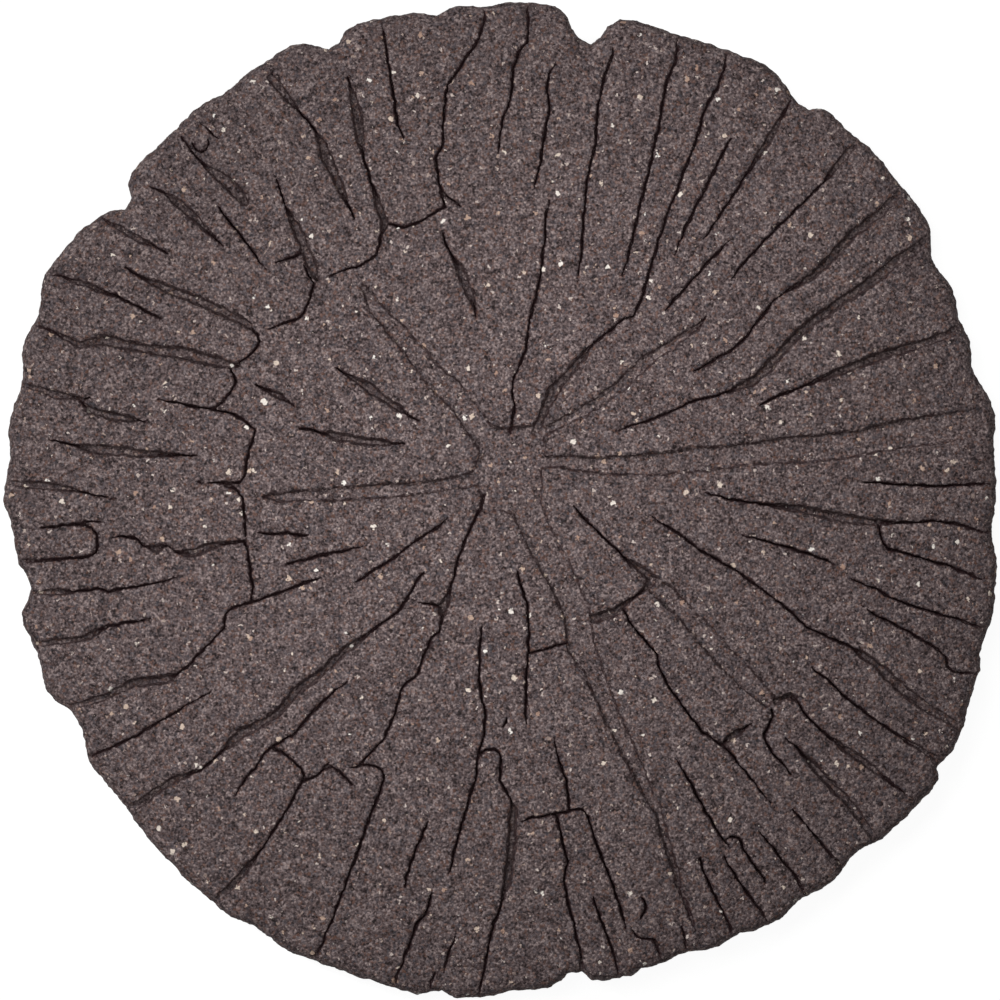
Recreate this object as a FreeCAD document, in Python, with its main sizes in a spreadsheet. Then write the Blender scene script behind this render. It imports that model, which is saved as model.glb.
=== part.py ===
import FreeCAD, Part
import math
import os

from FreeCAD import Vector

# A garden stepping stone, moulded in one piece from bonded rubber crumb.
# It looks like a slice of a log: a lobed outline like bark, a rolled rim, and drying cracks in the top.
# Millimetres, +Z up, origin at the middle of the flat underside.

NODE = "stepping_stone"

# Driving dimensions of the stone
DIMENSIONS = (
    ("diameter", 450, "widest measure of the outline along X"),
    ("thickness", 20, "underside to the flat middle of the top"),
    ("under_bevel", 2, "slanted edge all round the underside"),
    ("rim_radius", 6, "rounding where the side meets the top"),
    ("shoulder_drop", 1.6, "how far the top has sunk where the rounding starts"),
    ("shoulder_width", 42, "band along the outline over which the top sinks"),
    ("crack_depth", 3.2, "floor of the narrow cracks below the top"),
    ("channel_depth", 2, "floor of the wide channels and the heart below the top"),
    ("narrow_limit", 3.5, "cracks drawn narrower than this are cut as narrow slots"),
    ("narrow_width", 1.6, "width of a narrow slot, apart from its tips"),
    ("bank_shade", 0.5, "shade on the banks of a wider crack, which its drawn width takes in"),
)

# The outline, clockwise from the west, drawn at about its real size and then set to the diameter
OUTLINE = (
    (-224.5, 0.6), (-223.1, 9), (-221.1, 18.7), (-222, 31.5), (-220.1, 40.5), (-216.7, 49.5),
    (-215.5, 60.8), (-215.2, 70), (-212.6, 76.2), (-208.3, 83), (-207.5, 90), (-206.2, 99.6),
    (-203.5, 105.2), (-196, 114), (-186, 124.5), (-182, 126.8), (-178.5, 129.8), (-170, 131),
    (-166.5, 133.5), (-166.5, 137), (-168.2, 142.5), (-165.5, 149), (-154, 160), (-139.5, 174.5),
    (-131, 180.5), (-126, 182.5), (-116, 191), (-105, 198.5), (-90, 206.3), (-80, 204),
    (-74.5, 203.8), (-72, 208), (-68, 213.3), (-55, 217), (-41, 219.8), (-31, 219),
    (-27, 218.8), (-22, 222.7), (-16, 223.4), (-7, 222.1), (-2, 223.8), (10, 224.7),
    (21, 224), (28, 221.3), (31.5, 214), (34, 210), (38, 206.5), (42, 205.8),
    (45, 207.5), (50, 215), (56, 217), (66, 215), (79, 210.3), (92, 206.8),
    (108, 201), (121, 196), (127, 190), (132.5, 181.5), (139, 176.3), (145, 177),
    (154, 169.5), (166, 159.5), (175, 149.5), (190, 130.5), (195, 118.5), (194.2, 112),
    (197, 105), (201.1, 100), (205.6, 92.4), (206.3, 85), (210.1, 76), (213.2, 70),
    (212.3, 62.5), (215, 55.2), (220, 48), (223.7, 37), (222.9, 24.7), (224, 8),
    (223.3, -4), (222, -11), (222.5, -18), (224.5, -29), (223.6, -40), (222.5, -52),
    (219.7, -60), (217.3, -67), (216.5, -71), (217, -75), (215.2, -80.5), (213.3, -88),
    (211.3, -92), (210.2, -99), (205, -112), (202, -116), (198, -118.3), (197.3, -120.5),
    (198, -123), (197.8, -127), (195.5, -130.7), (191, -134.5), (188.5, -138), (176, -149.5),
    (169.5, -155.3), (165, -156.7), (158.5, -161), (155.5, -166), (150.5, -172), (143, -176.8),
    (136, -179.7), (124.5, -190.5), (121.5, -191.3), (116, -194.5), (110, -195), (106, -196.3),
    (101, -200.5), (96, -202.8), (88, -203.8), (79, -205.8), (73, -209.7), (63, -212),
    (56, -216.3), (50, -215.5), (45, -218.3), (42, -217.5), (38.5, -214), (35, -212.2),
    (31, -213.8), (25, -219), (14, -221), (0, -222.8), (-7, -224.8), (-13, -224.3),
    (-17.5, -225.3), (-21, -224.8), (-25, -221.7), (-29, -221.2), (-36, -223.4), (-42, -222.3),
    (-52, -219), (-65, -215), (-78, -210.3), (-90, -206), (-95, -204.3), (-99, -200.8),
    (-105, -197.5), (-109.5, -192.7), (-118, -190), (-125, -186), (-130, -181), (-140, -173.3),
    (-149, -163.5), (-158, -154), (-168.5, -139.5), (-181.5, -123.5), (-186.3, -117), (-187.3, -108.5),
    (-190.5, -100.5), (-195, -93.8), (-198.5, -92.4), (-202, -89.5), (-206.3, -81.5), (-208, -73),
    (-211, -64.5), (-215.5, -56), (-216.3, -52.5), (-214.5, -47), (-212.2, -43), (-212, -37.5),
    (-216.5, -30), (-218.7, -23), (-220.3, -13), (-223, -4.5),
)

# The heart: the low middle of the top, where the wide channels meet
HEART = (
    (-3.2, 32.7), (5.3, 32.5), (14, 33.5), (20, 31), (20.3, 20), (18.5, 14), (18.5, 0), (9, -9),
    (5.3, -6.2), (-1.5, -4.2), (-8.3, -6.5), (-7.6, 2.6), (-10.5, 5.9), (-12.2, 11.6), (-12.1, 13.9),
    (-9.5, 19.2), (-9.5, 22.9), (-14.3, 29.7), (-20.4, 38.8), (-12.8, 45.6), (-6, 36.5),
)

# Each channel and crack is a line of points (x, y, width), in the same drawing as the outline
CHANNELS = (
    ((-61.5, 96.5, 3), (-56, 86, 6), (-48, 78, 7), (-38, 66, 8.5), (-30.5, 56.5, 9.5),
     (-23, 50, 11), (-16.5, 42.3, 10), (-13.5, 38.5, 6)),
    ((-7, 10.5, 6), (-17, 8.3, 5.5), (-25, 7, 5), (-38, 5, 5), (-54, 4, 6.5), (-77, 2.3, 5.5),
     (-100, 1.2, 4), (-108, 1.5, 0.8)),
    ((14, 17.5, 5), (27, 17, 5), (45, 15.2, 7.5), (65, 15.8, 9.5), (86, 17.5, 10.5), (106, 20, 9.5),
     (125, 21.8, 11), (150, 24, 12), (160, 25.5, 11), (182, 29.8, 12.5), (208, 33.5, 13.5), (232, 38, 14)),
    ((93.5, 83.3, 0.8), (89, 78, 2.5), (76, 69, 3.5), (65, 61.5, 5), (55, 52, 5), (42.5, 42.7, 4.5),
     (29.5, 35.5, 4), (16, 29, 4)),
    ((66, -35.5, 6), (73, -41, 8), (84, -51.5, 8), (94, -63, 9), (105, -75, 9.5), (114.5, -84, 8),
     (122, -91.5, 6)),
    ((10, 1, 13), (17, -15.5, 13.5), (26.7, -33, 12.5), (34.5, -50, 12), (36.2, -65.5, 12.5),
     (42, -76.5, 9), (49, -94.5, 7.5), (55, -107.5, 7.5), (61.7, -121, 6), (66.2, -131, 4.5),
     (71, -139.5, 3.4), (74, -151, 2.8), (80, -171, 2.6), (86.5, -190, 2), (88, -194, 0.8)),
)

NORTH_CRACKS = (
    ((13, 230, 2.2), (12.5, 206, 2.2), (9, 201.5, 2.2), (6, 194, 2.2), (5, 181, 2.2), (1, 170.5, 2.2),
     (-1, 155, 1)),
    ((25.5, 197, 0.8), (22, 191, 2), (21, 183, 3), (22.3, 176.5, 2.6), (20.5, 167, 2.2), (17.6, 150, 2.2),
     (15.2, 138, 0.8)),
    ((22.7, 135.5, 0.8), (20.7, 129, 2.2), (20.3, 118, 2.4), (18.3, 103, 2.6), (15.5, 89, 2.6),
     (13, 79, 2.8), (11.3, 67, 2.8), (6.2, 54, 2.8), (5.6, 49, 3), (6.5, 42, 3), (4.5, 29, 3)),
    ((-7, 230, 2.2), (-6.8, 216, 2.2), (-8.6, 209, 2.2), (-19.5, 192, 2.2), (-23.7, 186.5, 2.3),
     (-25.5, 171, 2.3), (-26, 158, 2.2), (-29.3, 153, 2.6), (-27, 141, 2.8), (-24.5, 131, 2.2)),
    ((-24, 132.2, 2), (-29, 129, 2.2), (-35, 125.5, 2.2), (-42.5, 122.6, 2), (-51.5, 124, 2.5)),
    ((-26.5, 139, 1.4), (-22, 135, 1.4), (-16, 130.5, 0.8)),
    ((-53.3, 215.5, 0.8), (-52, 208, 1.8), (-48.3, 185, 2), (-46, 169, 2), (-43, 161.5, 0.8)),
    ((-26, 122, 0.8), (-25, 116, 2), (-21, 109.5, 2.2), (-17.5, 102, 4), (-14, 94, 4.5), (-11.5, 86, 3),
     (-11.3, 79.5, 0.8)),
)

NORTH_WEST_CRACKS = (
    ((-104, 191.5, 4.5), (-98, 184, 5), (-91, 175.5, 3), (-83.5, 167, 2.6), (-79.8, 160.5, 3.8),
     (-78, 154, 5.5), (-71.5, 140, 3.5), (-65, 125, 0.8)),
    ((-69.2, 192, 0.8), (-65, 177, 4.5), (-63.5, 168, 5), (-61.5, 154, 3), (-57.5, 142, 3),
     (-53.5, 129, 4), (-51.5, 124, 3.5), (-54, 117, 2.2), (-54.8, 111, 2.3), (-62.5, 105.3, 2.3),
     (-69.5, 103.2, 2.3), (-78, 100, 0.8)),
    ((-101, 146.5, 0.8), (-97, 133, 2.2), (-90, 119, 4.5), (-84.5, 105, 5), (-82, 98, 3)),
    ((-88.5, 115, 2), (-89.8, 110.5, 2.2), (-94, 109, 2.2), (-102, 106.5, 0.8)),
    ((-88.5, 106, 1), (-86, 101, 2), (-83.8, 97, 2.3), (-84.8, 92.5, 2.3), (-88.3, 84, 2.4),
     (-91, 81.5, 2.2), (-101, 78, 2), (-105, 76, 0.8)),
    ((-139, 161, 1.5), (-137, 157.5, 1.5), (-134.5, 156.3, 1.5), (-132, 157.5, 1.5), (-131, 160, 1.5),
     (-132, 163, 1)),
    ((-135, 170, 0.8), (-130, 165, 1.4), (-126, 162.5, 0.8)),
    ((-144, 164, 1.5), (-138.5, 156.5, 2), (-134, 151, 3), (-128, 147, 5), (-121.5, 141.5, 6),
     (-115.5, 135, 5), (-113.2, 132.3, 3)),
    ((-158, 141, 2), (-151, 138, 3), (-145, 133.5, 4.5), (-139, 128.5, 4.5), (-128.5, 118.5, 3),
     (-124, 113.5, 0.8)),
    ((-127.5, 132, 0.8), (-123.5, 127.5, 3), (-113, 114, 2.5), (-105, 103, 0.8)),
    ((-180, 127, 2), (-170, 121.5, 3.5), (-163, 117.5, 4), (-156, 114, 3), (-146.7, 109.3, 0.8)),
)

WEST_CRACKS = (
    ((-169, 105, 0.8), (-163, 101, 2.5), (-148.5, 94.5, 4.5), (-132, 88, 4.5), (-117, 81, 4.5),
     (-112, 77.5, 3.5)),
    ((-113.5, 78.5, 2.5), (-109, 74.5, 2.5), (-107.9, 71.5, 2.3), (-109.3, 68.3, 2.3), (-113, 64.2, 2.3),
     (-118, 60.8, 2.3)),
    ((-207, 102.5, 1.5), (-197, 100.5, 2.5), (-188, 97.5, 3.5), (-171, 91, 2.5), (-155, 83, 2.5),
     (-151.5, 81.3, 0.8)),
    ((-214, 80, 4), (-206, 77.8, 3), (-194, 72, 3.5), (-188.5, 69.8, 4), (-178, 71.8, 5.5),
     (-160, 68, 4.5), (-142, 65.8, 5.5), (-127, 62, 5), (-117, 59.8, 3)),
    ((-123, 61, 2), (-119.5, 56.5, 2.5), (-118.6, 52.8, 2.3), (-121.5, 47.5, 2.3), (-129, 40.8, 2.3)),
    ((-154.8, 45, 0.8), (-149, 44.2, 2), (-134.5, 41.5, 2.4), (-122.5, 39.5, 3), (-113.5, 35, 2.4),
     (-110, 32, 2.4), (-110.6, 28, 2.3), (-113, 22.5, 2.4), (-114.7, 11, 2.4), (-117, 8, 2.4),
     (-123, 7.2, 2.6), (-136.8, 8.1, 0.8)),
    ((-124, 6.8, 1.5), (-118.5, 5, 2.3), (-115.7, 1.5, 2.2), (-115, -5, 2.2), (-114.3, -17, 2.2)),
    ((-220, 52.5, 3), (-209, 50.5, 4), (-201, 47.5, 4.5), (-187, 45.5, 3), (-182, 46.2, 0.8)),
    ((-189, 45, 3), (-184, 40, 3.5), (-174, 37.5, 4.5), (-167, 36.5, 3.5), (-158.5, 34.8, 0.8)),
    ((-203.5, 27, 1), (-190, 24.5, 3), (-184, 22.8, 4.5), (-169, 22, 5), (-161, 20.8, 3.8),
     (-143, 20.2, 2), (-134, 20, 0.8)),
    ((-228, 8.2, 2.5), (-214, 7, 4), (-197, 5.5, 3.8), (-189, 3.8, 3), (-171.5, 0.1, 0.8)),
    ((-75, 60.5, 0.8), (-70.5, 57.6, 2.5), (-59, 50.5, 4.5), (-48, 42.5, 3.5), (-35, 34.5, 0.8)),
    ((-91, 32, 1.5), (-86.5, 31.8, 2.5), (-80, 30, 2.8), (-73, 28.3, 4.5), (-56, 25.7, 4), (-42, 25, 0.8)),
    ((-111, 52, 1), (-106, 50, 3), (-100, 47, 3.5), (-91.5, 42, 0.8)),
)

NORTH_EAST_CRACKS = (
    ((51.2, 206, 0.8), (50.5, 199, 2.6), (46.8, 190, 3.2), (43.7, 175, 3.4), (43, 160, 3), (39.3, 145, 2.6),
     (37.7, 129, 2.6), (36.3, 110, 2.6), (34.8, 96, 0.8)),
    ((81, 218, 2.5), (79.2, 198, 3), (74.3, 186, 3), (71.5, 169, 3), (66, 144, 3), (61.8, 128, 3),
     (57.8, 110, 2.3), (54.4, 99.5, 0.8)),
    ((102.5, 210, 3), (101.2, 195, 3.2), (98.3, 186.5, 3.2), (91.8, 174.5, 3.2), (87.5, 159.5, 3.2),
     (77.5, 134, 3.2), (72, 119, 3), (64.8, 95, 3), (63, 88.5, 3.2), (60, 82.5, 3.2), (55.5, 81.2, 3.2),
     (43, 71, 3), (33.5, 60, 4), (24, 49, 5.5), (18.5, 37, 4), (15, 29, 4)),
    ((104.3, 164, 0.8), (101, 157.5, 2), (90, 135, 2.2), (82.5, 120.5, 2.2), (77.8, 108, 0.8)),
    ((137, 190, 2), (129, 177, 3), (121.3, 162.5, 4), (110.5, 146, 3.4), (98.5, 127.5, 2.6),
     (90.5, 115.5, 0.8)),
    ((103.5, 117, 0.8), (99, 112.3, 2.5), (87.5, 100.5, 3.2), (77.5, 88.8, 2.5), (73, 84, 0.8)),
    ((167, 168, 3), (155, 154.5, 4.5), (145.5, 142.8, 3.4), (125.5, 123, 3.2), (110.6, 107.5, 2.6),
     (103, 98, 0.8)),
    ((190, 150, 4), (177.5, 135.5, 5), (171, 129, 4.5), (158, 119, 4.5), (147, 106.8, 4), (141, 101, 3.5),
     (127.5, 93.2, 3.2), (122, 88.3, 3), (108.5, 70.5, 3), (96, 62.6, 2.6), (86.3, 57.2, 0.8)),
)

EAST_CRACKS = (
    ((205, 127, 5), (191, 115.5, 6), (177, 106.5, 5.5), (169, 99.5, 5), (153, 89, 4.5), (138, 78, 4),
     (131, 71.5, 4), (118.5, 57.5, 4.5), (114, 53.5, 4.5), (101, 47.9, 2.6), (84.5, 43.5, 2.5),
     (71, 36.9, 2.4), (50, 30.4, 0.8)),
    ((115.3, 41.8, 0.8), (121, 44.8, 2), (136, 50.9, 3), (159, 60.2, 4.2), (175, 65.9, 4.5),
     (191, 70.6, 4.5), (206, 76.5, 5), (222, 82.5, 5)),
    ((158, 8.5, 0.8), (171, 7.7, 2.6), (188, 6.3, 3), (209, 6.8, 3), (232, 8, 3.2)),
    ((91, 3.3, 0.8), (103, 0.4, 2.4), (118, -1.8, 3.4), (134, -3.8, 3.8), (150, -7.5, 4.5),
     (165, -9.8, 3.6), (180, -10.2, 2.4), (196, -9.6, 2.2), (204, -10.3, 2.2), (212, -12.8, 2.2),
     (230, -18.5, 2.4)),
    ((170, -9, 2.4), (170.8, -15, 2.2), (171.8, -19.5, 2.4), (174.5, -22, 3), (187, -25.3, 2.4),
     (203, -30.3, 3), (217, -36, 2)),
    ((107, -15.2, 0.8), (120, -18.7, 2.2), (134, -22.7, 2.4), (147, -27.3, 2.2), (151.5, -29.8, 0.8)),
    ((155.5, -35, 0.8), (169, -40, 3), (175, -43.6, 3), (189, -48.8, 3), (204, -53, 3.2), (228, -61.5, 3.6)),
    ((162.5, -47.8, 0.8), (173.5, -54.3, 2.6), (185, -60, 3), (196.5, -67, 3), (200.3, -70.5, 2.6),
     (200.6, -74.5, 2.6), (204, -77.3, 3), (224, -79, 3.4)),
)

SOUTH_EAST_CRACKS = (
    ((32.2, -1.3, 0.8), (36, -6.7, 2.2), (45.5, -15.8, 2.8), (55.5, -25.5, 3.4), (66, -33.5, 4.5),
     (69, -37, 5)),
    ((68, -37.5, 4), (61.5, -43, 3.4), (50.5, -50.8, 4), (40, -54, 5)),
    ((55, -48, 3), (58, -54.5, 2.8), (70.8, -69.5, 2.8), (70.8, -74.5, 3.2), (76.5, -85, 3), (90, -103.5, 3),
     (101.3, -111.5, 3), (109.5, -121.2, 2.8), (124, -139, 0.8)),
    ((99, -110, 3), (105.4, -105.6, 4), (110, -102.5, 3.4), (113.8, -100.3, 0.8)),
    ((121.5, -93.5, 3), (122.8, -97, 2.6), (121.3, -100.3, 2.5), (118.8, -104.8, 2.5), (119.6, -109, 2.4),
     (122, -113, 2.5), (127, -119, 2.4), (131.8, -124.5, 0.8)),
    ((123, -91.5, 3.5), (127, -89.3, 3.6), (130.5, -88, 3.6), (134, -91, 3.4), (138, -97.5, 3.4),
     (142, -101.5, 3), (148, -106.5, 3), (157, -113, 3.6), (168, -121, 3.6), (178, -129, 2),
     (183, -133, 0.8)),
    ((65.8, -6, 0.8), (77, -13.2, 2.4), (89.5, -22.3, 2.8), (108, -33, 3), (126.5, -46.7, 3),
     (137.5, -56.7, 3.4), (143.5, -59.7, 3), (157, -65.7, 3.4), (168.5, -73.3, 4.2), (179, -83.5, 5),
     (192, -93.5, 5), (216, -107, 5)),
    ((137.5, -73.5, 0.8), (149, -82.5, 2.2), (153.5, -87, 2.6), (166, -97, 3.4), (179, -105.8, 3.4),
     (193, -114.5, 3.6), (206, -122, 4)),
    ((128, -106.5, 0.8), (133.5, -111.5, 3), (143.5, -122.5, 4), (155.5, -134.5, 4.5), (161, -141.5, 4.5),
     (174, -161, 4.5)),
    ((78, -114.8, 0.8), (86, -127.5, 2.6), (91.8, -139, 2.6), (99, -151, 2.8), (104, -157, 0.8)),
    ((89.3, -160.5, 1.6), (93.5, -172, 2.6), (102, -188.5, 2.8), (107.5, -202, 3)),
    ((130.5, -138.5, 0.8), (139.5, -148.5, 3), (147.5, -158, 3.4), (162, -174, 3.8)),
    ((115.5, -147.5, 0.8), (123.5, -157.8, 2.8), (131.5, -167, 3.2), (143, -186, 3.6)),
    ((100.5, -152.8, 1.2), (104, -151.2, 2), (107.4, -152, 2.4), (109.6, -157.4, 2.5), (114.7, -164.9, 2.6),
     (119.4, -170.3, 2.2), (119.2, -174, 0.8)),
    ((100, -159.3, 0.8), (106.5, -170.5, 2.8), (117, -184, 2.8), (125, -198, 3)),
)

SOUTH_CRACKS = (
    ((81.3, -190.5, 0.8), (82.8, -195.5, 2), (85, -210, 1.6)),
    ((12.5, -69, 1), (18, -67.5, 2.4), (23, -66.2, 2.4), (31, -64, 2.6)),
    ((7.3, -30.5, 0.8), (8.7, -36, 2.2), (12.6, -48.5, 2.8), (13.1, -60, 2.6), (12.1, -77, 2.8),
     (11.4, -92, 2.8), (11.6, -103.5, 0.8)),
    ((3.4, -97.3, 1), (3, -100, 1.6), (0.8, -102.3, 1)),
    ((23.6, -106.3, 0.8), (26.3, -116, 2.6), (29.8, -126, 2.6), (31, -139, 3)),
    ((9, -144.5, 0.8), (14, -142.8, 2.2), (24, -141.2, 3), (29, -140, 3.2), (33.5, -138.8, 2.4),
     (37.5, -139.3, 2.6), (39.5, -142.5, 2.6), (44, -156, 2.6), (49.5, -170, 2.8), (54.3, -184, 2.8),
     (57, -194, 1)),
    ((25, -141, 2.4), (27.3, -150, 2.4), (30.2, -162.5, 2.4), (28.8, -170, 2.4), (29.7, -178, 2.6),
     (33.3, -191, 2.8), (36.3, -204, 2.8), (37, -219, 4)),
    ((41.8, -177.5, 0.8), (44.6, -187, 2.4), (51.5, -205, 2.6), (55, -222, 3)),
    ((62.7, -178, 1), (65.3, -181.3, 2), (65.2, -185.2, 2), (62.3, -188.8, 1)),
    ((59, -192.5, 0.8), (61.5, -196, 2.2), (65, -197, 1.6), (69, -197.5, 2.2), (73.2, -208, 2.8),
     (75.5, -216, 3)),
    ((-7.8, -55.5, 1), (-9.2, -67, 2.4), (-9.4, -80, 2.2), (-8, -90, 2.2), (-6.5, -95, 2.4),
     (-7.4, -106, 2.2), (-10.3, -118, 2.4), (-10.9, -125, 2.6), (-16.9, -145, 2.6), (-20.7, -159, 2.8),
     (-23, -168.5, 1)),
    ((-10.3, -116.5, 1.4), (-6.5, -112.5, 1.6), (-2.5, -112, 1.8), (0.3, -114.8, 2.4), (0, -126, 2.2),
     (4.5, -134, 2.4), (6, -139, 3.5), (5.5, -152, 4.2), (4, -168, 4), (0.5, -182, 3), (-3, -191, 2.6),
     (-6.3, -206, 2.6), (-11, -230, 3)),
    ((-7, 3, 2.4), (-9, -4, 2.4), (-14.5, -15.5, 2.6), (-19, -27.5, 2.6), (-22, -39, 2.6), (-25.5, -48.5, 4),
     (-26.1, -54, 2.6), (-27, -59, 2.4), (-30.5, -62, 2.4), (-35, -72, 2.4), (-37, -78, 2.4),
     (-44, -84.5, 2.4), (-47.5, -96.5, 2.4), (-52.5, -108, 2.4), (-57.8, -113.5, 2.4), (-63.5, -119.8, 2.6),
     (-69, -120.8, 1)),
    ((-25, -48, 3), (-31, -46.6, 2.4), (-39, -45.3, 0.8)),
    ((-64.5, -119.6, 2), (-58.5, -119.2, 2), (-54, -120.3, 2.2), (-52, -123.5, 2.4), (-53, -128.5, 2.4),
     (-58, -141.5, 2.6), (-66, -163.5, 2.6), (-73.8, -184.5, 2.8), (-79, -197.5, 3.4), (-88, -216, 5)),
    ((-31.7, -143, 0.8), (-34.2, -148.5, 2.4), (-40.7, -165, 2.6), (-42.5, -170, 3), (-43, -175.5, 1)),
    ((-30.3, -175.5, 0.8), (-31.7, -181, 2.6), (-33.8, -186.5, 2.8), (-37, -189.8, 2.8), (-41, -201, 2.6),
     (-46, -213, 2.6), (-50, -228, 3)),
    ((-19.3, -194.5, 0.8), (-23, -203.5, 2.6), (-25.5, -214, 0.8)),
    ((-28.8, -211.5, 0.8), (-30.5, -216, 2), (-33.2, -228, 2.4)),
)

SOUTH_WEST_CRACKS = (
    ((-175.5, -17.3, 0.8), (-169, -16.2, 3), (-163, -17.2, 3.4), (-160, -20.8, 3.4), (-154, -22.3, 3.8),
     (-149.4, -20.5, 3.4), (-146, -23.3, 3.4), (-137.3, -23.6, 3.8), (-129.9, -20.7, 3.6),
     (-120.9, -19.2, 3.4), (-113.5, -18.3, 3.4)),
    ((-114.5, -19, 2.4), (-113, -25, 2.2), (-111, -41, 2.2), (-112, -46.5, 2.6)),
    ((-79.5, -34.3, 0.8), (-85, -36.5, 2), (-98, -41.2, 2.4), (-110, -45.5, 3.2), (-119, -48, 2.6),
     (-123.2, -51, 2.2), (-124, -57.5, 2.2), (-130, -64, 2.2), (-140, -74.5, 2.4), (-145, -78.5, 3),
     (-151, -80.8, 4), (-165, -82.5, 4), (-179, -89.2, 3.8), (-187, -91.5, 3.6), (-205, -96, 4)),
    ((-207.5, -12.3, 1), (-201, -12, 3), (-188, -10.8, 3), (-183.5, -12.3, 2.4), (-181, -15.5, 2.2),
     (-180.4, -20, 2.2), (-181.5, -24, 2.2), (-185.5, -25.5, 2), (-199, -26.8, 3.2), (-224, -28, 4)),
    ((-188, -9.8, 1.4), (-177, -9.9, 0.8)),
    ((-143, -34.3, 0.8), (-156, -37.7, 2.6), (-176, -41, 2.6), (-181, -39.7, 2.8), (-192, -41.5, 3),
     (-198, -41.3, 4), (-218, -41.8, 3)),
    ((-155.5, -53.2, 0.8), (-169, -55.3, 2), (-176, -56.5, 2.4), (-186, -62, 3.6), (-200, -63.8, 3.8),
     (-217, -66.5, 4)),
    ((-129, -85.8, 0.8), (-142, -93, 3), (-155, -101, 3.4), (-169, -108.8, 3), (-192, -119, 3.4)),
    ((-109.5, -15, 1), (-98, -15, 1.8), (-88, -15.8, 1.8), (-85, -15, 0.8)),
    ((-96.5, -29.3, 1), (-92, -27.7, 2.4), (-79, -24.5, 2.8), (-72, -23.3, 2.6), (-60, -20.2, 0.8)),
    ((-23.5, -7.7, 0.8), (-26.5, -11.3, 2.4), (-37, -18, 2.4), (-47, -25.3, 3.2), (-57, -31.8, 2.6),
     (-67, -38.3, 0.8)),
    ((-33, -31.5, 0.8), (-36.5, -35, 2), (-42, -45, 2.4), (-46, -50.5, 3), (-56, -57.5, 3), (-68, -66.5, 3.6),
     (-79.5, -77, 3.6), (-91, -85.3, 4), (-99.5, -95.5, 4), (-105, -99.3, 4), (-117, -105.3, 4.8),
     (-125, -113.5, 3), (-134, -121.2, 3.4), (-147, -126, 3.8), (-160, -135, 4.5), (-174, -144, 5)),
    ((-69, -81.8, 1), (-74, -85.5, 2.4), (-84, -95, 2.4), (-93, -105.8, 2.4), (-102, -110.5, 2.4),
     (-106.5, -115, 2.4), (-109.5, -120.5, 2.4), (-114, -124.5, 2.6), (-119.5, -135, 0.8)),
    ((-104, -111.2, 2), (-98, -113, 2.2), (-89.5, -120.3, 2.2), (-87.8, -124, 2.4), (-90, -128.2, 2.4),
     (-96, -139.5, 2.6), (-108, -158.5, 2.8), (-117, -169.5, 4), (-136, -189, 5)),
    ((-88.5, -126.5, 2.4), (-84, -125, 2.4), (-80, -121.8, 2.6), (-76, -119.6, 3), (-71.5, -122.8, 2.2),
     (-65.5, -128.3, 1)),
    ((-79.5, -121, 2), (-75.8, -117, 0.8)),
)

CRACKS = (
    NORTH_CRACKS + NORTH_WEST_CRACKS + WEST_CRACKS + NORTH_EAST_CRACKS
    + EAST_CRACKS + SOUTH_EAST_CRACKS + SOUTH_CRACKS + SOUTH_WEST_CRACKS
)

# How far the cutters stand out above the top, so that they cut clean through it
CUTTER_CLEARANCE = 2.0

# The side follows the outline in short straight runs, and the rim in a few bands, to keep the solid light
OUTLINE_RUNS = 240
RIM_BANDS = 4
SHOULDER_BANDS = 2


def make_sheet(doc):
    """Write the driving dimensions into a spreadsheet, one row each."""
    sheet = doc.addObject("Spreadsheet::Sheet", "sizes")
    for row, (alias, value, meaning) in enumerate(DIMENSIONS, start=1):
        sheet.set(f"A{row}", meaning)
        sheet.set(f"B{row}", str(value))
        sheet.setAlias(f"B{row}", alias)
    doc.recompute()
    return sheet


class Drawing:
    """Sets the drawn points to the stone's diameter, with the middle of its box at the origin."""

    def __init__(self, diameter):
        curve = Part.BSplineCurve()
        curve.interpolate(Points=[Vector(x, y, 0) for x, y in OUTLINE], PeriodicFlag=True)
        self.corners = curve.discretize(Number=OUTLINE_RUNS + 1)[:-1]
        box = Part.makePolygon(self.corners).BoundBox
        self.middle = box.Center
        self.scale = diameter / box.XLength

    def place(self, x, y):
        """A drawn point at its real place."""
        return (Vector(x, y, 0) - self.middle) * self.scale

    def outline(self, inset, height):
        """The outline at a height, moved in towards the middle by the inset."""
        lift = Vector(0, 0, height)
        points = [self.place(corner.x, corner.y) for corner in self.corners]
        points = [point * (1 - inset / point.Length) + lift for point in points]
        return Part.makePolygon(points + points[:1])


def crack_face(drawing, path):
    """A flat face along a line of points, as wide at each point as the point says."""
    middle_line = [drawing.place(x, y) for x, y, _ in path]
    half_widths = [width / 2 for _, _, width in path]
    left_bank = []
    right_bank = []
    for index, (point, half_width) in enumerate(zip(middle_line, half_widths)):
        before = middle_line[max(index - 1, 0)]
        after = middle_line[min(index + 1, len(middle_line) - 1)]
        along = (after - before).normalize()
        aside = Vector(-along.y, along.x, 0) * half_width
        left_bank.append(point + aside)
        right_bank.append(point - aside)
    corners = left_bank + right_bank[::-1]
    face = Part.Face(Part.makePolygon(corners + corners[:1]))
    if not face.isValid():
        raise ValueError(f"the banks of the crack from {path[0]} cross each other")
    return face


def slots(sheet, path):
    """A crack's line of points, with the widths of its slot in place of the drawn ones."""
    points = []
    for x, y, drawn in path:
        is_narrow = drawn < sheet.narrow_limit
        width = min(drawn, sheet.narrow_width) if is_narrow else drawn - sheet.bank_shade
        points.append((x, y, width))
    return points


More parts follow.
